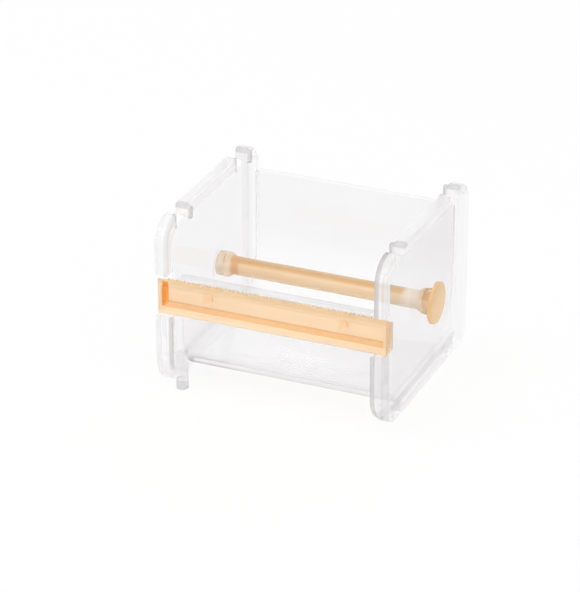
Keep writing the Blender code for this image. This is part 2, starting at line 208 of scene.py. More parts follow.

# Shares of painted shade on the panels, and of a light grey over the web; near is the panel on the knob's
# side, far the other one
LOW_EDGE_SHADE = 0.36
LOW_EDGE_NEAR = 0.62
HIGH_EDGE_SHADE = 0.31
HIGH_EDGE_FAR = 0.42
OUTER_EDGE_SHADE = 0.12
TOE_SHADE = 0.09
WEB_SHADE = 0.022
LEG_SHADE = 0.05
LEG_CAP_SHADE = 0.10
LEG_SOLE_SHADE = 0.14
LUG_SHADE = 0.25
SOCKET_SHADE = 0.17

# Shares of painted shade on the trough
BAND_SHADE = 0.06
BAND_LOW_SHADE = 0.18
BAND_FAR_GAIN = 0.9
LEDGE_SHADE = 0.02
LEDGE_NEAR_SHADE = 0.06
LEDGE_STREAK_SHADE = 0.08

# Colours, and shares in which some of them are mixed in
TROUGH_TINT = (0.985, 0.985, 0.987, 1.0)
# Painted shade: the upper back wall's greyer tint
TROUGH_BACK_SHADE = (0.925, 0.92, 0.925, 1.0)
BAR_PEACH = (1.0, 0.87, 0.68, 1.0)
BAR_PEACH_DEEP = (1.0, 0.85, 0.64, 1.0)
# Painted shade under the bar's top lip
BAR_TOP_LIP_SHADE = (0.90, 0.74, 0.50, 1.0)
# Painted light: paler along the bar's bottom edge
BAR_BOTTOM_EDGE_LIGHT = (0.93, 0.86, 0.74, 1.0)
BAR_BOTTOM_EDGE_LIGHT_SHARE = 0.7
# Painted shade in the recess's groove
BAR_GROOVE_SHADE = (0.84, 0.54, 0.27, 1.0)
# Painted shade: deep orange on the recess's left end wall and the lip ahead of it
BAR_END_WALL_SHADE = (0.98, 0.26, 0.0, 1.0)
# Painted shade on the bar's right end face
BAR_END_FACE_SHADE = (0.74, 0.58, 0.38, 1.0)
# How far the painted end wall shade spreads onto the recess
BAR_END_SHADE_SPREAD = 1.2 * MM
SPINDLE_PEACH = (0.93, 0.83, 0.655, 1.0)
SPINDLE_PEACH_DEEP = (0.915, 0.79, 0.605, 1.0)
# Painted shade on the spindle's top
SPINDLE_TOP_SHADE = (0.73, 0.525, 0.30, 1.0)
# Painted shade at the spindle's left root
SPINDLE_ROOT_SHADE = (0.78, 0.53, 0.29, 1.0)
SPINDLE_ROOT_SHADE_SHARE = 0.7
# Painted light: paler near the spindle's ends, where they are seen through the panels
SPINDLE_PAINTED_LIGHT = (0.96, 0.94, 0.91, 1.0)
PAINTED_LIGHT_LEFT_SHARE = 0.6
PAINTED_LIGHT_RIGHT_SHARE = 0.9
KNOB_PEACH = (0.93, 0.70, 0.40, 1.0)

# tint is the body's colour where no pattern gives it, clarity the share of light that it lets through bent,
# straight the share that passes unbent, and waves how strong the surface's waves are. passing and milk colour
# the light let through and scattered, and dim colours the painted shade. absorb and density say how depth
# tints it.
CLEAR_FINISH = {
    "ior": 1.45, "roughness": 0.02, "clarity": 1.0, "waves": 0.25, "dim": (0.35, 0.34, 0.35, 1.0),
    "absorb": (0.80, 0.79, 0.80, 1.0)}
PANEL_FINISH = {
    **CLEAR_FINISH, "tint": (0.985, 0.985, 0.988, 1.0), "milk": (0.97, 0.965, 0.967, 1.0),
    "passing": (0.992, 0.989, 0.991, 1.0), "density": 30.0}
TRAY_FINISH = {**CLEAR_FINISH, "passing": (0.994, 0.992, 0.993, 1.0), "density": 25.0}
BAR_FINISH = {
    "ior": 1.4, "roughness": 0.12, "clarity": 0.5, "waves": 0.2, "straight": 0.2,
    "passing": (0.98, 0.90, 0.80, 1.0), "absorb": (0.99, 0.80, 0.50, 1.0), "density": 60.0}
PIN_FINISH = {
    "tint": (0.98, 0.80, 0.58, 1.0), "ior": 1.4, "roughness": 0.14, "clarity": 0.1, "waves": 0.2,
    "straight": 0.3, "passing": (0.98, 0.92, 0.85, 1.0), "absorb": (0.99, 0.80, 0.50, 1.0), "density": 40.0}
SPINDLE_FINISH = {
    "ior": 1.4, "roughness": 0.10, "clarity": 0.45, "waves": 0.2, "straight": 0.1,
    "passing": (0.98, 0.90, 0.80, 1.0), "absorb": (0.97, 0.80, 0.55, 1.0), "density": 45.0}

# What every finish shares: what wear adds to roughness, the depth of the reliefs, and the number of times
# that light is bent before it passes straight on
WORN_ROUGHNESS = 0.035
HAIRLINE_ROUGHNESS = 0.16
SURFACE_RELIEF = 0.02 * MM
WAVE_RELIEF = 0.12 * MM
DEEPEST_BEND = 5.0


# ---------------------------------------------------------------- materials

class Value:
    """A shader socket; arithmetic on it adds Math nodes to its material."""

    def __init__(self, sheet, socket):
        self.sheet = sheet
        self.socket = socket

    def math(self, operation, *others):
        inputs = {index: other for index, other in enumerate((self, *others))}
        return self.sheet.node("ShaderNodeMath", {"operation": operation}, inputs)

    def __add__(self, other):
        return self.math("ADD", other)

    def __sub__(self, other):
        return self.math("SUBTRACT", other)

    def __rsub__(self, other):
        return self.math("MULTIPLY", -1.0).math("ADD", other)

    def __mul__(self, other):
        return self.math("MULTIPLY", other)

    def __pow__(self, other):
        return self.math("POWER", other)

    __radd__ = __add__

    def clamp(self, low=0.0, high=1.0):
        return self.math("MAXIMUM", low).math("MINIMUM", high)


class Sheet:
    """The node tree of one material or of the world."""

    def __init__(self, owner, output="ShaderNodeOutputMaterial"):
        self.owner = owner
        owner.use_nodes = True
        self.tree = owner.node_tree
        self.tree.nodes.clear()
        self.output = self.tree.nodes.new(output)

    def node(self, kind, settings=None, inputs=None, out=0):
        """Adds a node; an input is a value or another node's socket, and out says which output counts."""
        made = self.tree.nodes.new(kind)
        for key, value in (settings or {}).items():
            setattr(made, key, value)
        for key, value in (inputs or {}).items():
            if isinstance(value, Value):
                self.tree.links.new(value.socket, made.inputs[key])
            else:
                made.inputs[key].default_value = value
        return Value(self, made.outputs[out])

    def coordinates(self, scale=(1.0, 1.0, 1.0), turn=(0.0, 0.0, 0.0)):
        """A point on the object for a noise texture; a small scale stretches the noise along that axis."""
        place = self.node("ShaderNodeTexCoord", out="Object")
        return self.node("ShaderNodeMapping", inputs={"Vector": place, "Scale": scale, "Rotation": turn})

    def place(self, kind="Object"):
        """The three coordinates of a point on the object, in metres, or of a direction in the world."""
        split = self.tree.nodes.new("ShaderNodeSeparateXYZ")
        self.tree.links.new(self.node("ShaderNodeTexCoord", out=kind).socket, split.inputs[0])
        return [Value(self, socket) for socket in split.outputs]

    def within(self, value, low, high, soft):
        """1 between two limits, falling to 0 over a soft edge inside them."""
        return self.ramp(value, low, low + soft) * self.ramp(value, high, high - soft)

    def noise(self, vector, scale, detail=2.0, distortion=0.0):
        return self.node("ShaderNodeTexNoise", inputs={
            "Vector": vector, "Scale": scale, "Detail": detail, "Distortion": distortion})

    def ramp(self, value, low, high):
        """0 at low and 1 at high with a smooth run between them; it falls where low is the larger."""
        return self.node("ShaderNodeMapRange", {"interpolation_type": "SMOOTHSTEP"}, {
            "Value": value, "From Min": low, "From Max": high})

    def mix_colour(self, factor, first, second):
        return self.node("ShaderNodeMix", {"data_type": "RGBA"}, {0: factor, 6: first, 7: second}, out=2)

    def bump(self, height, strength, distance, normal=None):
        inputs = {"Height": height, "Strength": strength, "Distance": distance}
        if normal:
            inputs["Normal"] = normal
        return self.node("ShaderNodeBump", inputs=inputs)

    def finish(self, surface, volume=None):
        self.tree.links.new(surface.socket, self.output.inputs["Surface"])
        if volume:
            self.tree.links.new(volume.socket, self.output.inputs["Volume"])
        return self.owner


def scratches(sheet, turn, density):
    """Thin straight hairline scratches that run along one direction."""
    lines = sheet.coordinates(scale=(1.0, 14.0, 14.0), turn=turn)
    fine = sheet.noise(lines, 260.0, detail=1.0)
    patches = sheet.noise(sheet.coordinates(), 55.0, detail=2.0)
    return sheet.ramp(fine, 0.68, 0.74) * sheet.ramp(patches, 1.0 - density, 1.1 - density)


def moulded_plastic(name, finish, base=None, straight=None, shade=None, haze=None):
    """See-through moulded plastic: flow waves, handling scratches and a body that tints with its depth.

    base gives the colour over the surface, straight the share of light that passes unbent, haze the milky
    white share that thick rims scatter, on the top rims also a painted highlight, and shade the share of
    painted shade.
    """
    sheet = Sheet(bpy.data.materials.new(name))
    waves = sheet.noise(sheet.coordinates(scale=(1.0, 0.6, 0.6)), 38.0, detail=1.5, distortion=0.6)
    orange_peel = sheet.noise(sheet.coordinates(), 420.0, detail=2.0)
    handled = sheet.noise(sheet.coordinates(), 90.0, detail=3.0)
    hairlines = scratches(sheet, (0.3, 0.2, 0.5), 0.42) + scratches(sheet, (1.1, 0.7, 2.2), 0.40)
    worn = sheet.ramp(handled, 0.45, 0.8)
    rough = finish["roughness"] + worn * WORN_ROUGHNESS + hairlines * HAIRLINE_ROUGHNESS
    relief = sheet.bump(waves, finish["waves"], WAVE_RELIEF)
    relief = sheet.bump(orange_peel, 0.06, SURFACE_RELIEF, relief)
    relief = sheet.bump(hairlines, 0.12, SURFACE_RELIEF, relief)
    body = sheet.node("ShaderNodeBsdfPrincipled", inputs={
        "Base Color": base(sheet) if base else finish["tint"], "Roughness": rough.clamp(0.0, 0.6),
        "IOR": finish["ior"], "Transmission Weight": finish["clarity"], "Normal": relief})
    passing = sheet.node("ShaderNodeBsdfTransparent", inputs={"Color": finish["passing"]})
    spent = sheet.node("ShaderNodeLightPath", out="Ray Depth").math("GREATER_THAN", DEEPEST_BEND)
    share = (spent + (straight(sheet) if straight else finish["straight"])).clamp()
    surface = sheet.node("ShaderNodeMixShader", inputs={0: share, 1: body, 2: passing})
    # A milky white share; on the panels' top rims it also stands in for a painted highlight
    if haze:
        milky = sheet.node("ShaderNodeBsdfDiffuse", inputs={"Color": finish["milk"], "Normal": relief})
        surface = sheet.node("ShaderNodeMixShader", inputs={0: haze(sheet), 1: surface, 2: milky})
    # Painted shade: a dark see-through share mixed in where shade gives it
    if shade:
        dim = sheet.node("ShaderNodeBsdfTransparent", inputs={"Color": finish["dim"]})
        surface = sheet.node("ShaderNodeMixShader", inputs={0: shade(sheet), 1: surface, 2: dim})
    shadow = sheet.node("ShaderNodeLightPath", out="Is Shadow Ray")
    surface = sheet.node("ShaderNodeMixShader", inputs={0: shadow, 1: surface, 2: passing})
    inside = sheet.node("ShaderNodeVolumeAbsorption", inputs={
        "Color": finish["absorb"], "Density": finish["density"]})
    return sheet.finish(surface, inside)


def web_mask(sheet, y, z):
    """1 on a side panel's flat web, 0 on its rim."""
    across = sheet.within(y, FRONT + RIM_FRONT, BACK - RIM_REAR, MM)
    return across * sheet.within(z, RIM_LIFT + RIM_BOTTOM, HEIGHT - RIM_TOP, MM)


def panel_straight(sheet):
    """The flat web of a side panel passes light almost unbent, and its rim bends some of it."""
    x, y, z = sheet.place()
    left = sheet.ramp(x, 0.0, -MM)
    rim_base = HEIGHT - RIM_TOP
    sill_top = RIM_LIFT + RIM_BOTTOM
    rear_post = BACK - RIM_REAR
    link_margin = 7 * MM
    between = sheet.within(y, LINK_FRONT + link_margin, LINK_REAR - link_margin, MM)
    top_rim = sheet.ramp(z, rim_base - MM, rim_base) * between
    sill = sheet.ramp(z, sill_top + MM, sill_top) * sheet.ramp(y, LEG_Y + MM, LEG_Y + 5 * MM)
    rear_foot = sheet.ramp(y, rear_post - MM, rear_post) * sheet.ramp(z, 42 * MM, 34 * MM)
    faint = (top_rim + sill + rear_foot).clamp() * left
    return web_mask(sheet, y, z) * PANEL_WEB_STRAIGHT + faint * FAR_RIM_STRAIGHT + PANEL_RIM_STRAIGHT


def edge_depth(sheet, y, z, radius, low):
    """How far a point lies inside a side panel's front edge, round its lower or its upper corner."""
    rise = RIM_LIFT + radius - z if low else z - (HEIGHT - radius)
    rise = rise.clamp()
    back = (FRONT + radius - y).clamp()
    return radius - (back * back + rise * rise) ** 0.5


def panel_haze(sheet):
    """Thick front posts and top rims look milky, where light scatters round inside them; on the top rims the
    milky white also stands in for a highlight, a painted highlight.
    """
    y, z = sheet.place()[1:]
    soft = 0.6 * MM
    rim_base = HEIGHT - RIM_TOP
    post_back = FRONT + RIM_FRONT
    top_rim = sheet.ramp(z, rim_base - soft, rim_base + soft)
    front_post = sheet.ramp(y, post_back + soft, post_back - soft)
    corner = sheet.ramp(z - (y - FRONT), HEIGHT - 17 * MM, HEIGHT - 14 * MM)
    post = front_post.math("MAXIMUM", corner)
    post_share = sheet.ramp(z, BAR_BOTTOM, BAR_TOP) * UPPER_POST_HAZE + POST_HAZE
    return top_rim * TOP_RIM_MILK_AND_HIGHLIGHT + (post * post_share) * (1 - top_rim)


def low_edge_shade(sheet, y, z, reach, near, depth):
    """Painted shade along the front posts' inner edge from the bar down and round the lower corner."""
    inner = HALF_WIDTH - LOWER_POST_WIDTH
    edge = sheet.ramp(depth, 3.2 * MM, 2.2 * MM) * sheet.ramp(z, BAR_BOTTOM + MM, BAR_BOTTOM)
    edge = edge * sheet.ramp(reach - near * 1.2 * MM, inner + 1.5 * MM, inner + 0.9 * MM)
    far_share = sheet.ramp(z, 8 * MM, 12 * MM) * (1 - near)
    return edge * (near * LOW_EDGE_NEAR + far_share) * LOW_EDGE_SHADE


def high_edge_shade(sheet, y, z, reach, near, depth):
    """Painted shade along the front posts' inner edge from the bar up and round to the front socket."""
    inner = PLATE_INNER + PLATE_INSET
    socket = LINK_FRONT - LINK_LENGTH / 2
    edge = sheet.ramp(depth, 3.6 * MM, 2.6 * MM) * sheet.ramp(z, BAR_TOP - MM, BAR_TOP)
    edge = edge * sheet.ramp(reach - near * MM, inner + 0.9 * MM, inner + 0.4 * MM)
    edge = edge * sheet.ramp(y, socket + MM, socket - MM)
    return edge * (near * (1 - HIGH_EDGE_FAR) + HIGH_EDGE_FAR) * HIGH_EDGE_SHADE


def leg_shade(sheet, y, z, reach, near):
    """Painted shade on the leg's foot cap: a line round its top and a darker sole."""
    leg = sheet.ramp(z, 9 * MM, 7 * MM) * sheet.ramp(y, LEG_Y + 3.4 * MM, LEG_Y + 2.8 * MM) * (1 - near)
    leg = leg * sheet.ramp(reach, PLATE_INNER - 0.6 * MM, PLATE_INNER - 1.2 * MM)
    cap = sheet.within(z, LEG_CAP_HEIGHT - 0.5 * MM, LEG_CAP_HEIGHT + 0.9 * MM, 0.4 * MM)
    sole = sheet.ramp(z, 1.8 * MM, 0.8 * MM)
    return leg * (cap * LEG_CAP_SHADE + sole * LEG_SOLE_SHADE + LEG_SHADE)


def socket_shade(sheet, y, z, reach, centre):
    """Painted shade on a top socket's end walls, and on the lug that stands behind it."""
    start = centre - LINK_LENGTH / 2
    end = centre + LINK_LENGTH / 2
    floor = HEIGHT - LINK_DEPTH
    soft = 0.4 * MM
    behind = sheet.within(y, end - 0.5 * MM, end + 3.0 * MM, soft)
    crest = sheet.ramp(z, HEIGHT - 2.0 * MM, HEIGHT - 1.5 * MM)
    lug = sheet.ramp(reach, PLATE_INNER - 0.4 * MM, PLATE_INNER - 0.8 * MM)
    lug = lug * sheet.ramp(z, floor - 0.6 * MM, floor - 0.2 * MM)
    before = sheet.within(y, start - 2.0 * MM, start + 0.5 * MM, soft)
    before = before * sheet.ramp(z, floor - MM, floor)
    before = before * sheet.ramp(reach, PLATE_INNER + 2.2 * MM, PLATE_INNER + 1.6 * MM)
    return behind * (crest + lug).clamp() * LUG_SHADE + before * SOCKET_SHADE


def panel_shade(sheet):
    """Painted shade along the front posts' edges, round the bottom front corners, on the leg and at the
    sockets' end walls and lugs, and a light even grey over the web.
    """
    x, y, z = sheet.place()
    reach = x.math("ABSOLUTE")
    near = sheet.ramp(x, -MM, MM)
    low = edge_depth(sheet, y, z, FRONT_BOTTOM_RADIUS, True)
    high = edge_depth(sheet, y, z, FRONT_TOP_RADIUS, False)
    # Painted shade: a line inside the near panel's outer face, and a band round the bottom front corners
    outer = sheet.within(reach, HALF_WIDTH - 1.5 * MM, HALF_WIDTH - 0.5 * MM, 0.3 * MM) * near
    outer = outer * sheet.ramp(low, 2.0 * MM, MM) * sheet.ramp(high, 2.0 * MM, MM)
    toe = sheet.ramp(z + (y - FRONT), 12 * MM, 8 * MM)
    held = low_edge_shade(sheet, y, z, reach, near, low) + high_edge_shade(sheet, y, z, reach, near, high)
    held = held + outer * OUTER_EDGE_SHADE + toe * TOE_SHADE + leg_shade(sheet, y, z, reach, near)
    held = held + web_mask(sheet, y, z) * WEB_SHADE
    for centre in (LINK_FRONT, LINK_REAR):
        held = held + socket_shade(sheet, y, z, reach, centre)
    return held.clamp()


def trough_colour(sheet):
    """Nearly colourless, with painted shade that tints the upper back wall a little greyer."""
    y, z = sheet.place()[1:]
    back = sheet.ramp(y, TRAY_HIGH.y - 9 * MM, TRAY_HIGH.y - 3 * MM) * sheet.ramp(z, 22 * MM, 40 * MM)
    return sheet.mix_colour(back, TROUGH_TINT, TROUGH_BACK_SHADE)


def trough_straight(sheet):
    """The back wall bends light more than the floor, the front wall and the ledge."""
    y, z = sheet.place()[1:]
    back = sheet.ramp(y, TRAY_HIGH.y - 20 * MM, TRAY_HIGH.y - 6 * MM) * sheet.ramp(z, 12 * MM, 24 * MM)
    back = back * sheet.ramp(z, TRAY_HIGH.z - 1.2 * MM, TRAY_HIGH.z - 1.8 * MM)
    return back * (TROUGH_BACK_STRAIGHT - TROUGH_STRAIGHT) + TROUGH_STRAIGHT


def trough_shade(sheet):
    """Painted shade: a grey band round the lower front curve, darker at the left end, and a grey ledge,
    darker towards the right, with fine lengthwise streaks.
    """
    x, y, z = sheet.place()
    front = sheet.ramp(y, -20 * MM, -24 * MM)
    far_end = sheet.ramp(x, -15 * MM, -35 * MM)
    band = sheet.ramp(z, 13 * MM, 7 * MM) * BAND_SHADE + sheet.ramp(z, 8 * MM, 4.5 * MM) * BAND_LOW_SHADE
    lines = sheet.noise(sheet.coordinates(scale=(0.03, 1.0, 1.0)), 1400.0, detail=1.0)
    ledge_base = TRAY_FRONT_TOP - TRAY_WALL
    ledge = sheet.ramp(z, ledge_base - 0.2 * MM, ledge_base + 0.2 * MM) * front
    streaks = sheet.ramp(lines, 0.5, 0.66) * LEDGE_STREAK_SHADE
    streaks = streaks + sheet.ramp(x, -20 * MM, 30 * MM) * LEDGE_NEAR_SHADE + LEDGE_SHADE
    return band * front * (far_end * BAND_FAR_GAIN + 1) + ledge * streaks


def bar_colour(sheet):
    """Peach plastic with a cloudy tone and painted light and shade: darker under the top lip, in the recess's
    groove, on its left end wall and the lip ahead of it, where more of it is looked through, and on the right
    end face, and paler along the bottom edge.
    """
    x, y, z = sheet.place()
    reach = x.math("ABSOLUTE")
    far = sheet.ramp(x, MM, -MM)
    lip = BAR_BOTTOM + BAR_LIP_BOTTOM
    wall = HALF_WIDTH - BAR_LIP_END
    cloudy = sheet.noise(sheet.coordinates(scale=(0.35, 1.0, 1.0)), 60.0, detail=2.0)
    face = sheet.mix_colour(sheet.ramp(cloudy, 0.3, 0.7), BAR_PEACH, BAR_PEACH_DEEP)
    # Painted shade under the top lip
    top_lip = sheet.ramp(z, BAR_TOP - 2.4 * MM, BAR_TOP - 1.6 * MM)
    face = sheet.mix_colour(top_lip, face, BAR_TOP_LIP_SHADE)
    # Painted light along the bottom edge
    bottom_edge = sheet.ramp(z, BAR_BOTTOM + 1.4 * MM, BAR_BOTTOM + 0.2 * MM)
    face = sheet.mix_colour(bottom_edge * BAR_BOTTOM_EDGE_LIGHT_SHARE, face, BAR_BOTTOM_EDGE_LIGHT)
    recessed = sheet.within(y, BAR_FRONT + 0.3 * MM, RECESS_BACK + 0.7 * MM, 0.3 * MM)
    # Painted shade in the recess's groove
    groove = sheet.within(z, lip - 0.4 * MM, lip + 1.0 * MM, 0.3 * MM) * recessed
    face = sheet.mix_colour(groove, face, BAR_GROOVE_SHADE)
    # Painted shade: deep orange on the recess's left end wall and on the lip ahead of it
    end_wall = sheet.within(reach, wall - BAR_END_SHADE_SPREAD, wall + 0.5 * MM, 0.3 * MM) * far
    ahead = sheet.ramp(y, BAR_FRONT + 0.6 * MM, BAR_FRONT + 0.3 * MM)
    lip_end = sheet.within(reach, wall - 3.3 * MM, wall - 0.3 * MM, 0.3 * MM) * far * ahead
    inside = sheet.within(z, lip - 0.2 * MM, BAR_TOP - 0.7 * MM, 0.4 * MM)
    face = sheet.mix_colour((recessed * end_wall + lip_end).clamp() * inside, face, BAR_END_WALL_SHADE)
    # Painted shade on the right end face
    return sheet.mix_colour(sheet.ramp(x, HALF_WIDTH - 0.4 * MM, HALF_WIDTH - 0.1 * MM), face, BAR_END_FACE_SHADE)


def spindle_colour(sheet):
    """Peach plastic with faint mould flow; painted shade darkens its top and its left root, and painted light
    pales it near both ends, where they are seen through the panels.
    """
    x, z = sheet.place()[::2]
    flow = sheet.noise(sheet.coordinates(scale=(0.2, 1.0, 1.0)), 120.0, detail=2.0)
    peach = sheet.mix_colour(sheet.ramp(flow, 0.3, 0.7), SPINDLE_PEACH, SPINDLE_PEACH_DEEP)
    # Painted shade on the top
    upper = sheet.ramp(z, SPINDLE_Z + 2.0 * MM, SPINDLE_Z + 3.3 * MM)
    peach = sheet.mix_colour(upper, peach, SPINDLE_TOP_SHADE)
    # Painted shade at the left root
    root = sheet.within(x, ROLLER_LOW.x + 2.2 * MM, ROLLER_LOW.x + 7.0 * MM, 1.2 * MM)
    peach = sheet.mix_colour(root * SPINDLE_ROOT_SHADE_SHARE, peach, SPINDLE_ROOT_SHADE)
    # Painted light near both ends, where they are seen through the panels
    pale_left = sheet.ramp(x, ROLLER_LOW.x + 3.0 * MM, ROLLER_LOW.x + 2.2 * MM)
    pale_right = sheet.within(x, ROLLER_HIGH.x - 11 * MM, ROLLER_HIGH.x + 0.2 * MM, 3 * MM)
    pale = pale_left * PAINTED_LIGHT_LEFT_SHARE + pale_right * PAINTED_LIGHT_RIGHT_SHARE
    peach = sheet.mix_colour(pale, peach, SPINDLE_PAINTED_LIGHT)
    return sheet.mix_colour(sheet.ramp(x, KNOB_HIGH.x - 2 * MM, KNOB_HIGH.x - MM), peach, KNOB_PEACH)


# ---------------------------------------------------------------- mesh helpers

CUTTERS = bpy.data.collections.new("cutters")
bpy.context.scene.collection.children.link(CUTTERS)


def add_object(name, mesh, cutter=False):
    piece = bpy.data.objects.new(name, mesh)
    (CUTTERS if cutter else bpy.context.scene.collection).objects.link(piece)
    return piece


def rounded(corners, steps=ARC_STEPS):
    """Points of a closed outline; each corner is (u, v, fillet radius)."""
    points = []
    count = len(corners)
    for index, (u, v, radius) in enumerate(corners):
        here = Vector((u, v))
        if radius <= 0:
            points.append(here)
            continue
        before = (Vector(corners[index - 1][:2]) - here).normalized()
        after = (Vector(corners[(index + 1) % count][:2]) - here).normalized()
        half = before.angle(after) / 2
        centre = here + (before + after).normalized() * radius / sin(half)
        start = here + before * radius / tan(half) - centre
        end = here + after * radius / tan(half) - centre
        turn = atan2(start.x * end.y - start.y * end.x, start.dot(end))
        first = atan2(start.y, start.x)
        for step in range(steps + 1):
            angle = first + turn * step / steps
            points.append(centre + Vector((cos(angle), sin(angle))) * radius)
    return points


def plate(name, outlines, x_low, x_high, cutter=False):
    """A flat piece in a YZ plane between two X values; outlines after the first are windows."""
    curve = bpy.data.curves.new(name + "_outline", "CURVE")
    curve.dimensions = "2D"
    curve.fill_mode = "BOTH"
    curve.extrude = (x_high - x_low) / 2
    for points in outlines:
        spline = curve.splines.new("POLY")
        spline.points.add(len(points) - 1)
        for slot, point in zip(spline.points, points):
            slot.co = (point[0], point[1], 0.0, 1.0)
        spline.use_cyclic_u = True
    guide = bpy.data.objects.new(name + "_guide", curve)
    guide.rotation_euler = (pi / 2, 0.0, pi / 2)
    guide.location.x = (x_low + x_high) / 2
    CUTTERS.objects.link(guide)
    bpy.context.view_layer.update()
    mesh = bpy.data.meshes.new_from_object(guide.evaluated_get(bpy.context.evaluated_depsgraph_get()))
    mesh.name = name
    mesh.transform(guide.matrix_world)
    work = bmesh.new()
    work.from_mesh(mesh)
    bmesh.ops.remove_doubles(work, verts=work.verts, dist=WELD)
    bmesh.ops.dissolve_limit(work, angle_limit=FLAT_ANGLE, verts=work.verts, edges=work.edges)
    bmesh.ops.recalc_face_normals(work, faces=work.faces)
    work.to_mesh(mesh)
    work.free()
    mesh.materials.clear()
    bpy.data.objects.remove(guide, do_unlink=True)
    return add_object(name, mesh, cutter)


def box(name, x_range, y_range, z_range, round_edges=0.0):
    """A block between the given limits, for a cut or a union."""
    mesh = bpy.data.meshes.new(name)
    work = bmesh.new()
    bmesh.ops.create_cube(work, size=1.0)
    size = Vector([high - low for low, high in (x_range, y_range, z_range)])
    centre = Vector([(low + high) / 2 for low, high in (x_range, y_range, z_range)])
    bmesh.ops.scale(work, vec=size, verts=work.verts)
    bmesh.ops.translate(work, vec=centre, verts=work.verts)
    if round_edges:
        bmesh.ops.bevel(work, geom=work.edges[:], offset=round_edges, segments=3, affect="EDGES", profile=0.5)
    work.to_mesh(mesh)
    work.free()
    return add_object(name, mesh, cutter=True)


def turned(name, profile, cutter=False, steps=TURN_STEPS):
    """A closed shape turned about the spindle's axis; profile points are (radius, x)."""
    mesh = bpy.data.meshes.new(name)
    work = bmesh.new()
    rings = []
    for radius, along in profile:
        if radius <= 0:
            rings.append([work.verts.new((along, SPINDLE_Y, SPINDLE_Z))])
            continue
        ring = []
        for step in range(steps):
            angle = 2 * pi * step / steps
            across = SPINDLE_Y + radius * cos(angle)
            up = SPINDLE_Z + radius * sin(angle)
            ring.append(work.verts.new((along, across, up)))
        rings.append(ring)
    open_profile = profile[0][0] <= 0
    pairs = list(zip(rings, rings[1:])) + ([] if open_profile else [(rings[-1], rings[0])])
    for first, second in pairs:
        for step in range(steps):
            after = (step + 1) % steps
            corners = [first[step % len(first)], first[after % len(first)],
                       second[after % len(second)], second[step % len(second)]]
            distinct = list(dict.fromkeys(corners))
            if len(distinct) > 2:
                work.faces.new(distinct)
    bmesh.ops.recalc_face_normals(work, faces=work.faces)
    work.to_mesh(mesh)
    work.free()
    return add_object(name, mesh, cutter)


def round_off(corners, radius, steps=4):
    """A turned profile with its corners rounded; corners on the axis stay sharp."""
    points = []
    for index, (reach, along) in enumerate(corners):
        if reach <= 0:
            points.append((reach, along))
            continue
        here = Vector((reach, along))
        before = Vector(corners[index - 1]) - here
        after = Vector(corners[(index + 1) % len(corners)]) - here
        size = min(radius, before.length * 0.45, after.length * 0.45)
        start = here + before.normalized() * size
        end = here + after.normalized() * size
        for step in range(steps + 1):
            blend = step / steps
            point = start * (1 - blend) ** 2 + here * 2 * blend * (1 - blend) + end * blend ** 2
            points.append((point.x, point.y))
    return points


def boolean(target, operation, tool):
    modifier = target.modifiers.new(operation.title(), "BOOLEAN")
    modifier.operation = operation
    modifier.solver = "EXACT"
    modifier.object = tool


def bevel(target, width, segments=3):
    modifier = target.modifiers.new("Bevel", "BEVEL")
    modifier.width = width
    modifier.segments = segments
    modifier.limit_method = "ANGLE"
    modifier.angle_limit = radians(40.0)
    modifier.use_clamp_overlap = True


def bake(piece, sharp=35.0):
    """Applies a piece's modifiers, and shades it smooth up to an angle."""
    bpy.context.view_layer.update()
    mesh = bpy.data.meshes.new_from_object(piece.evaluated_get(bpy.context.evaluated_depsgraph_get()))
    piece.modifiers.clear()
    piece.data = mesh
    mesh.shade_smooth()
    mesh.set_sharp_from_angle(angle=radians(sharp))
    return piece


def tidy_mesh(piece):
    """Joins the points that a cut or a union leaves on top of each other, and drops faces without area."""
    work = bmesh.new()
    work.from_mesh(piece.data)
    bmesh.ops.remove_doubles(work, verts=work.verts, dist=WELD)
    bmesh.ops.dissolve_degenerate(work, edges=work.edges, dist=WELD)
    work.to_mesh(piece.data)
    work.free()
    return piece


def dress(piece, material, body, slot, *nodes):
    """Gives a finished piece its material, its body and the nodes that it stands for."""
    piece.data.materials.clear()
    piece.data.materials.append(material)
    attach(piece, body)
    if nodes:
        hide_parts(*nodes)
    return piece


# ---------------------------------------------------------------- pieces

def panel_outline(inset_front, inset_rear, inset_top, inset_bottom):
    """A side panel's outline, moved in by an inset on each edge."""
    front = FRONT + inset_front
    rear = BACK - inset_rear
    top = HEIGHT - inset_top
    bottom = RIM_LIFT + inset_bottom
    corners = [
        (front, bottom, FRONT_BOTTOM_RADIUS - inset_front), (rear, bottom, REAR_BOTTOM_RADIUS - inset_rear),
        (rear, top, REAR_TOP_RADIUS - inset_rear), (front, top, FRONT_TOP_RADIUS - inset_front)]
    return rounded([(y, z, max(radius, MM)) for y, z, radius in corners])


def post_outline():
    """The front post's inner thickening: down from the bar and round the lower corner."""
    front = FRONT + 2 * PLATE_INSET
    inner = FRONT + RIM_FRONT - PLATE_INSET
    toe = FRONT + LOWER_POST_TOE
    bottom = RIM_LIFT + 2 * PLATE_INSET
    sill = RIM_LIFT + RIM_BOTTOM - PLATE_INSET
    top = BAR_BOTTOM - GAP - 2 * PLATE_INSET
    outer_radius = FRONT_BOTTOM_RADIUS - 2 * PLATE_INSET
    inner_radius = FRONT_BOTTOM_RADIUS - RIM_FRONT + PLATE_INSET
    return rounded([(front, top, 0.0), (front, bottom, outer_radius), (toe, bottom, 0.0),
                    (toe, sill, 0.0), (inner, sill, inner_radius), (inner, top, 0.0)])


def upright(name, x, y, profile):
    """A turned shape stood on end; profile points are (radius, height)."""
    shape = turned(name, profile, cutter=True, steps=LEG_STEPS)
    for vertex in shape.data.vertices:
        along, across, rise = vertex.co
        vertex.co = (x - (rise - SPINDLE_Z), y + (across - SPINDLE_Y), along)
    return shape


def span(side, near, far):
    """An X range at the given distances from the middle, on one side of the case."""
    return tuple(sorted((side * near, side * far)))


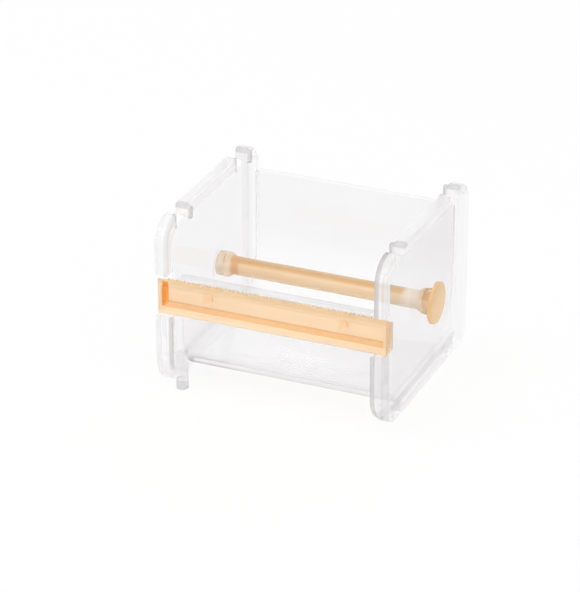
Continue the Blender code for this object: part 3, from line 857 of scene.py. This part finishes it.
def leg_profile():
    """A round leg with a slightly wider foot cap."""
    corners = [(0.0, 0.0), (LEG_RADIUS, 0.0), (LEG_RADIUS, LEG_CAP_HEIGHT), (LEG_NECK_RADIUS, LEG_CAP_HEIGHT),
               (LEG_NECK_RADIUS, LEG_HEIGHT), (0.0, LEG_HEIGHT)]
    return round_off(corners, LEG_ROUND)


def link_span(centre):
    """The front and the back of a socket or a notch, from its middle."""
    return centre - LINK_LENGTH / 2, centre + LINK_LENGTH / 2


def panel_rim(name, side, reach):
    """The rim round a side panel, open at the cutter bar, at the top sockets and at the notches below."""
    outlines = [panel_outline(0.0, 0.0, 0.0, 0.0), panel_outline(RIM_FRONT, RIM_REAR, RIM_TOP, RIM_BOTTOM)]
    rim = plate(name, outlines, *span(side, PLATE_INNER + PLATE_INSET, HALF_WIDTH))
    bevel(rim, RIM_ROUND, segments=5)
    bake(rim)
    slot = box(name + "_bar_slot", reach, (FRONT - BAR_DEPTH, BAR_REAR + GAP),
               (BAR_BOTTOM - GAP, BAR_HIGH.z + 2 * GAP))
    boolean(rim, "DIFFERENCE", slot)
    for centre in (LINK_FRONT, LINK_REAR):
        socket = box(name + "_socket", reach, link_span(centre), (HEIGHT - LINK_DEPTH, HEIGHT + LINK_DEPTH))
        notch = box(name + "_notch", reach, link_span(centre), (-LINK_DEPTH, FOOT_HEIGHT + GAP))
        boolean(rim, "DIFFERENCE", socket)
        boolean(rim, "DIFFERENCE", notch)
    bevel(rim, LINK_ROUND)
    return bake(rim)


def panel_web(name, side, reach):
    """The thin plate inside the rim, with the lugs, the feet, the lower post and, on the left, the leg."""
    web = plate(name + "_web", [panel_outline(*[PLATE_INSET] * 4)], *span(side, PLATE_INNER, PLATE_OUTER),
                cutter=True)
    slot = box(name + "_web_slot", reach, (FRONT - BAR_DEPTH, BAR_REAR + GAP + SHIM),
               (BAR_BOTTOM - GAP - SHIM, BAR_HIGH.z + 2 * GAP + SHIM))
    boolean(web, "DIFFERENCE", slot)
    for centre in (LINK_FRONT, LINK_REAR):
        start, end = link_span(centre)
        socket = box(name + "_web_socket", reach, (start - PLATE_INSET, end + PLATE_INSET),
                     (HEIGHT - LINK_DEPTH, HEIGHT + LINK_DEPTH))
        boolean(web, "DIFFERENCE", socket)
    root = PLATE_INNER + PLATE_THICKNESS / 2
    for centre in (LINK_FRONT, LINK_REAR):
        back = link_span(centre)[1] + LUG_SETBACK
        lug = box(name + "_lug", span(side, PLATE_INNER - LUG_STAND, root), (back, back + LUG_DEPTH),
                  (HEIGHT - LINK_DEPTH, HEIGHT - 2 * PLATE_INSET), round_edges=LUG_ROUND)
        boolean(web, "UNION", lug)
    front_inner = PLATE_INNER - FOOT_INWARD
    rear_inner = PLATE_INNER + PLATE_INSET + SHIM
    for centre, inner in ((LINK_FRONT, front_inner), (LINK_REAR, rear_inner)):
        start, end = link_span(centre)
        foot = box(name + "_foot", span(side, inner, HALF_WIDTH - PLATE_INSET), (start + GAP, end - GAP),
                   (0.0, FOOT_HEIGHT), round_edges=FOOT_ROUND)
        boolean(web, "UNION", foot)
    if side < 0:
        arm = box(name + "_leg_arm", (-root, LEG_X), (LEG_Y - LEG_ARM_HALF, LEG_Y + LEG_ARM_HALF),
                  (LEG_ARM_BOTTOM, LEG_ARM_TOP))
        boolean(web, "UNION", arm)
        boolean(web, "UNION", upright(name + "_leg", LEG_X, LEG_Y, leg_profile()))
    post_x = span(side, HALF_WIDTH - LOWER_POST_WIDTH, root)
    post = plate(name + "_post", [post_outline()], *post_x, cutter=True)
    bevel(post, LOWER_POST_ROUND)
    boolean(web, "UNION", post)
    return tidy_mesh(bake(web))


def bore_web(name, side, web, hole_radius):
    """Adds the ring round the spindle's hole, and cuts the hole, which trims the ring's inner side."""
    ring_outer = hole_radius + BOSS_WIDTH
    ring_inner = hole_radius - MM
    root = side * (PLATE_INNER + PLATE_INSET)
    face = side * (PLATE_OUTER + BOSS_HEIGHT)
    ring = [(ring_outer, root), (ring_outer, face), (ring_inner, face), (ring_inner, root)]
    inner = side * (PLATE_INNER - MM)
    outer = side * HALF_WIDTH
    hole = [(0.0, inner), (hole_radius, inner), (hole_radius, outer), (0.0, outer)]
    boolean(web, "UNION", turned(name + "_boss", round_off(ring, BOSS_ROUND), cutter=True))
    boolean(web, "DIFFERENCE", turned(name + "_hole", hole, cutter=True))
    return tidy_mesh(bake(web))


def side_panel(name, side, hole_radius):
    """One side of the case: side is -1 on the left and 1 on the right."""
    reach = span(side, PLATE_INNER - LOWER_POST_WIDTH, HALF_WIDTH + LOWER_POST_WIDTH)
    panel = panel_rim(name, side, reach)
    web = panel_web(name, side, reach)
    boolean(panel, "UNION", bore_web(name, side, web, hole_radius))
    return tidy_mesh(bake(panel))


def tray():
    """The open trough between the panels, with a ledge under the cutter bar and bosses for the bar's pins."""
    ledge = TRAY_LOW.y
    low = TRAY_LOW.z
    back = TRAY_HIGH.y
    top = TRAY_HIGH.z
    outline = rounded([
        (ledge, TRAY_FRONT_TOP, TRAY_LEDGE_RADIUS),
        (ledge, TRAY_FRONT_TOP - TRAY_WALL, TRAY_LEDGE_RADIUS),
        (TRAY_FRONT, TRAY_FRONT_TOP - TRAY_WALL, TRAY_INNER_RADIUS),
        (TRAY_FRONT, low, TRAY_FRONT_RADIUS),
        (back, low, TRAY_BACK_RADIUS),
        (back, top, TRAY_EDGE_RADIUS),
        (back - TRAY_WALL, top, TRAY_EDGE_RADIUS),
        (back - TRAY_WALL, low + TRAY_WALL, TRAY_BACK_RADIUS - TRAY_WALL),
        (TRAY_FRONT + TRAY_WALL, low + TRAY_WALL, TRAY_FRONT_RADIUS - TRAY_WALL),
        (TRAY_FRONT + TRAY_WALL, TRAY_FRONT_TOP, TRAY_EDGE_RADIUS),
    ], steps=TRAY_ARC_STEPS)
    trough = plate("tray_shell", [outline], TRAY_LOW.x, TRAY_HIGH.x)
    bevel(trough, TRAY_END_ROUND, segments=2)
    bake(trough)
    for x in (-PIN_X, PIN_X):
        boss = peg("boss", x, PIN_BOSS_RADIUS, ledge, TRAY_FRONT + TRAY_WALL / 2)
        bore = peg("bore", x, PIN_RADIUS + GAP, ledge - TRAY_WALL, TRAY_FRONT + 2 * TRAY_WALL)
        boolean(trough, "UNION", boss)
        boolean(trough, "DIFFERENCE", bore)
    return tidy_mesh(bake(trough))


def peg(name, x, radius, y_low, y_high):
    """A round peg along Y at the height of the bar's pins, for a cut or a union."""
    mesh = bpy.data.meshes.new(name)
    work = bmesh.new()
    angles = [2 * pi * step / PEG_STEPS for step in range(PEG_STEPS)]
    rings = []
    for along in (y_low, y_high):
        rings.append([work.verts.new((x + radius * cos(angle), along, PIN_Z + radius * sin(angle)))
                      for angle in angles])
    for step in range(PEG_STEPS):
        after = (step + 1) % PEG_STEPS
        work.faces.new((rings[0][step], rings[0][after], rings[1][after], rings[1][step]))
    work.faces.new(rings[0])
    work.faces.new(rings[1])
    bmesh.ops.recalc_face_normals(work, faces=work.faces)
    work.to_mesh(mesh)
    work.free()
    return add_object(name, mesh, cutter=True)


def cutter_bar():
    """A bar with a sloping top and a long recess in its front."""
    section = [(BAR_FRONT, BAR_BOTTOM), (BAR_REAR, BAR_BOTTOM),
               (BAR_REAR, BAR_TOP - BAR_TOP_FALL), (BAR_FRONT, BAR_TOP)]
    bar = plate("cutter_bar_body", [section], -HALF_WIDTH, HALF_WIDTH)
    recess_top = BAR_TOP - BAR_LIP_TOP - BAR_TOP_FALL * BAR_RECESS_DEPTH / BAR_DEPTH
    recess = box("recess", (-HALF_WIDTH + BAR_LIP_END, HALF_WIDTH - BAR_LIP_END),
                 (BAR_FRONT - BAR_DEPTH, RECESS_BACK), (BAR_BOTTOM + BAR_LIP_BOTTOM, recess_top))
    boolean(bar, "DIFFERENCE", recess)
    bevel(bar, BAR_ROUND)
    bake(bar)
    for x in (-PIN_X, PIN_X):
        bore = peg("bar_bore", x, PIN_RADIUS + GAP, BAR_FRONT - BAR_DEPTH, BAR_REAR + BAR_DEPTH)
        boolean(bar, "DIFFERENCE", bore)
    return bake(bar)


def tooth_mesh():
    """One cutting tooth: a wedge with a steep front and a raked back."""
    half = TOOTH_PITCH * TOOTH_SPREAD / 2
    mesh = bpy.data.meshes.new("tooth")
    work = bmesh.new()
    base = [work.verts.new((-half, 0.0, 0.0)), work.verts.new((half, 0.0, 0.0)),
            work.verts.new((half, TOOTH_THICKNESS, 0.0)), work.verts.new((-half, TOOTH_THICKNESS, 0.0))]
    tip = work.verts.new((0.0, TOOTH_THICKNESS * TOOTH_RAKE, TOOTH_HEIGHT))
    work.faces.new(base)
    for first, second in zip(base, base[1:] + base[:1]):
        work.faces.new((first, second, tip))
    bmesh.ops.recalc_face_normals(work, faces=work.faces)
    work.to_mesh(mesh)
    work.free()
    return mesh


def row_of(name, unit_mesh, start, step, count, material):
    """A row of copies of one small mesh, made with Geometry Nodes and realised into a single mesh."""
    unit = add_object(name + "_unit", unit_mesh, cutter=True)
    tree = bpy.data.node_groups.new(name + "_row", "GeometryNodeTree")
    tree.interface.new_socket("Geometry", in_out="OUTPUT", socket_type="NodeSocketGeometry")
    kinds = {"Start": "NodeSocketVector", "Step": "NodeSocketVector", "Count": "NodeSocketInt"}
    for label, kind in kinds.items():
        tree.interface.new_socket(label, in_out="INPUT", socket_type=kind)
    source = tree.nodes.new("NodeGroupInput")
    sink = tree.nodes.new("NodeGroupOutput")
    line = tree.nodes.new("GeometryNodeMeshLine")
    line.mode = "OFFSET"
    info = tree.nodes.new("GeometryNodeObjectInfo")
    info.inputs["Object"].default_value = unit
    copies = tree.nodes.new("GeometryNodeInstanceOnPoints")
    real = tree.nodes.new("GeometryNodeRealizeInstances")
    paint = tree.nodes.new("GeometryNodeSetMaterial")
    paint.inputs["Material"].default_value = material
    for giver, given, taker, taken in (
            (source, "Start", line, "Start Location"), (source, "Step", line, "Offset"),
            (source, "Count", line, "Count"), (line, "Mesh", copies, "Points"),
            (info, "Geometry", copies, "Instance"), (copies, "Instances", real, "Geometry"),
            (real, "Geometry", paint, "Geometry"), (paint, "Geometry", sink, "Geometry")):
        tree.links.new(giver.outputs[given], taker.inputs[taken])
    row = add_object(name, bpy.data.meshes.new(name))
    modifier = row.modifiers.new("Row", "NODES")
    modifier.node_group = tree
    values = {"Start": start, "Step": step, "Count": count}
    for item in tree.interface.items_tree:
        if item.item_type == "SOCKET" and item.in_out == "INPUT":
            modifier[item.identifier] = values[item.name]
    return bake(row, sharp=20.0)


def cutting_teeth(material):
    """The row of teeth that stands in the bar's top edge."""
    count = int(2 * (HALF_WIDTH - TEETH_MARGIN) / TOOTH_PITCH)
    start = Vector((-(count - 1) * TOOTH_PITCH / 2, BAR_FRONT + TOOTH_SETBACK, BAR_TOP - TOOTH_ROOT))
    return row_of("cutting_teeth", tooth_mesh(), start, Vector((TOOTH_PITCH, 0.0, 0.0)), count, material)


def roller():
    """The tube that carries the rolls, with a flared flange at each end."""
    tip = ROLLER_HIGH.x
    flat = tip - FLANGE_THICKNESS
    neck = flat - FLARE
    half = [(FLANGE_RADIUS, tip), (FLANGE_RADIUS, flat), (ROLLER_RADIUS, neck)]
    mirrored = [(radius, -along) for radius, along in reversed(half)]
    profile = half + mirrored + [(ROLLER_BORE, -tip), (ROLLER_BORE, tip)]
    return turned("roller_tube", round_off(profile, ROLLER_ROUND))


def knob():
    """The disc on the spindle's right end, with the hub that turns in the panel's hole."""
    face = PLATE_OUTER + HUB_PROUD
    inner = KNOB_LOW.x
    bore = AXLE_RADIUS + GAP
    profile = [(0.0, KNOB_HIGH.x), (KNOB_RADIUS, KNOB_HIGH.x), (KNOB_RADIUS, face), (HUB_RADIUS, face),
               (HUB_RADIUS, inner), (bore, inner), (bore, inner + SOCKET_DEPTH), (0.0, inner + SOCKET_DEPTH)]
    return turned("spindle_knob", round_off(profile, KNOB_ROUND))


def axle_head():
    """The button on the spindle's left end."""
    inner = HEAD_HIGH.x
    bore = AXLE_RADIUS + GAP
    profile = [(0.0, inner - SOCKET_DEPTH), (bore, inner - SOCKET_DEPTH), (bore, inner), (HEAD_RADIUS, inner),
               (HEAD_RADIUS, HEAD_LOW.x), (0.0, HEAD_LOW.x)]
    return turned("spindle_head", round_off(profile, HEAD_ROUND))


def axle():
    """The plain rod inside the roller."""
    profile = [(0.0, AXLE_HIGH.x), (AXLE_RADIUS, AXLE_HIGH.x), (AXLE_RADIUS, AXLE_LOW.x), (0.0, AXLE_LOW.x)]
    return turned("spindle_axle", round_off(profile, AXLE_ROUND))


def build_object():
    """Every piece with its material and its body; the bar's pins keep their solids."""
    clear = moulded_plastic("clear_panels", PANEL_FINISH, straight=panel_straight, shade=panel_shade,
                            haze=panel_haze)
    trough = moulded_plastic("clear_trough", TRAY_FINISH, base=trough_colour, straight=trough_straight,
                             shade=trough_shade)
    orange = moulded_plastic("orange_bar", BAR_FINISH, base=bar_colour)
    peach = moulded_plastic("orange_spindle", SPINDLE_FINISH, base=spindle_colour)
    left = side_panel("panel_left", -1, HEAD_RADIUS + GAP)
    dress(left, clear, "case", "clear_plastic", "side_panel_left")
    right = side_panel("panel_right", 1, HUB_RADIUS + GAP)
    dress(right, clear, "case", "clear_plastic", "side_panel_right")
    dress(tray(), trough, "case", "clear_plastic", "tray")
    dress(cutter_bar(), orange, "case", "orange_plastic", "cutter_bar")
    dress(cutting_teeth(orange), orange, "case", "orange_plastic")
    dress(bake(roller()), peach, "roller", "orange_plastic", "roller")
    dress(bake(axle()), peach, "spindle", "orange_plastic", "axle")
    dress(bake(axle_head()), peach, "spindle", "orange_plastic", "axle_head")
    dress(bake(knob()), peach, "spindle", "orange_plastic", "knob")
    pins = moulded_plastic("orange_pins", PIN_FINISH)
    for name in ("bar_pin_left", "bar_pin_right"):
        node = frame["nodes"][name]
        node.data.materials.clear()
        node.data.materials.append(pins)


# ---------------------------------------------------------------- studio

# Angles round the object and above it, distance and aim in metres, and the lens in millimetres
CAMERA_AZIMUTH = radians(23.12)
CAMERA_ELEVATION = radians(26.40)
CAMERA_DISTANCE = 1.40
CAMERA_AIM = Vector((-0.0045, -0.0146, 0.0374))
CAMERA_LENS = 208.0
CAMERA_NEAR = 0.05

# Name, place and size in metres, and power in watts
LAMPS = (
    ("key", (-1.2, -1.2, 2.2), 2.4, 30.0),
    ("fill", (1.8, -1.2, 1.6), 2.4, 12.0),
    ("rim", (0.2, 2.0, 1.6), 2.4, 12.0),
)

# The floor's half width, its grey and how far it glows, what the room's sides and front lose, and its light
# where nothing looks at it
FLOOR_REACH = 3.0
FLOOR_GREY = 0.95
FLOOR_GLOW = 0.75
ROOM_SIDE_DIP = 0.4
ROOM_CAMERA_DIP = 0.2
ROOM_LIGHT = 0.62
WHITE = (1.0, 1.0, 1.0, 1.0)


def seen_white(sheet):
    """1 where the eye, a reflection or a look through the plastic meets the surface."""
    seen = sheet.node("ShaderNodeLightPath", out="Is Camera Ray")
    for kind in ("Is Glossy Ray", "Is Transmission Ray"):
        seen = seen.math("MAXIMUM", sheet.node("ShaderNodeLightPath", out=kind))
    return seen


def white_floor():
    """A pale surface that shows as white to the eye and in the plastic, and still takes a shadow."""
    sheet = Sheet(bpy.data.materials.new("white_floor"))
    lit = sheet.node("ShaderNodeBsdfDiffuse", inputs={"Color": (FLOOR_GREY, FLOOR_GREY, FLOOR_GREY, 1.0)})
    shine = sheet.node("ShaderNodeEmission", inputs={"Color": WHITE, "Strength": 1.0})
    glow = seen_white(sheet) * FLOOR_GLOW
    return sheet.finish(sheet.node("ShaderNodeMixShader", inputs={0: glow, 1: lit, 2: shine}))


def studio_world():
    """Even light all round; reflections meet a white room with two grey sides, which draw the edges."""
    sheet = Sheet(bpy.data.worlds.new("studio"), "ShaderNodeOutputWorld")
    x, y = sheet.place("Generated")[:2]
    sides = sheet.ramp(x.math("ABSOLUTE"), 0.7, 0.9) * ROOM_SIDE_DIP
    camera_side = sheet.ramp(y, -0.6, -0.9) * ROOM_CAMERA_DIP
    room = 1.0 - sides - camera_side
    seen = seen_white(sheet)
    strength = room * seen + (1.0 - seen) * ROOM_LIGHT
    return sheet.finish(sheet.node("ShaderNodeBackground", inputs={"Color": WHITE, "Strength": strength}))


def add_floor():
    """A wide white surface under the object, which isn't part of it."""
    mesh = bpy.data.meshes.new("floor")
    work = bmesh.new()
    bmesh.ops.create_grid(work, x_segments=1, y_segments=1, size=FLOOR_REACH)
    work.to_mesh(mesh)
    work.free()
    floor = add_object("floor", mesh)
    floor.data.materials.append(white_floor())


def add_lamp(name, place, size, power):
    """A square lamp that shines at the origin."""
    lamp = bpy.data.lights.new(name, "AREA")
    lamp.energy = power
    lamp.size = size
    stand = bpy.data.objects.new(name, lamp)
    stand.location = place
    stand.rotation_euler = (-Vector(place)).to_track_quat("-Z", "Y").to_euler()
    bpy.context.scene.collection.objects.link(stand)


def add_camera():
    """A long lens at an angle round the object and above it."""
    camera = bpy.data.cameras.new("camera")
    camera.lens = CAMERA_LENS
    camera.clip_start = CAMERA_NEAR
    view = bpy.data.objects.new("camera", camera)
    level = cos(CAMERA_ELEVATION)
    back = Vector((sin(CAMERA_AZIMUTH) * level, -cos(CAMERA_AZIMUTH) * level, sin(CAMERA_ELEVATION)))
    view.location = CAMERA_AIM + back * CAMERA_DISTANCE
    view.rotation_euler = back.to_track_quat("Z", "Y").to_euler()
    bpy.context.scene.collection.objects.link(view)
    bpy.context.scene.camera = view


def studio():
    """The floor, the room, the lamps and the camera."""
    scene = bpy.context.scene
    scene.view_settings.view_transform = "Standard"
    add_floor()
    scene.world = studio_world()
    for lamp in LAMPS:
        add_lamp(*lamp)
    add_camera()


build_object()
studio()
for tool in list(CUTTERS.objects):
    bpy.data.objects.remove(tool, do_unlink=True)
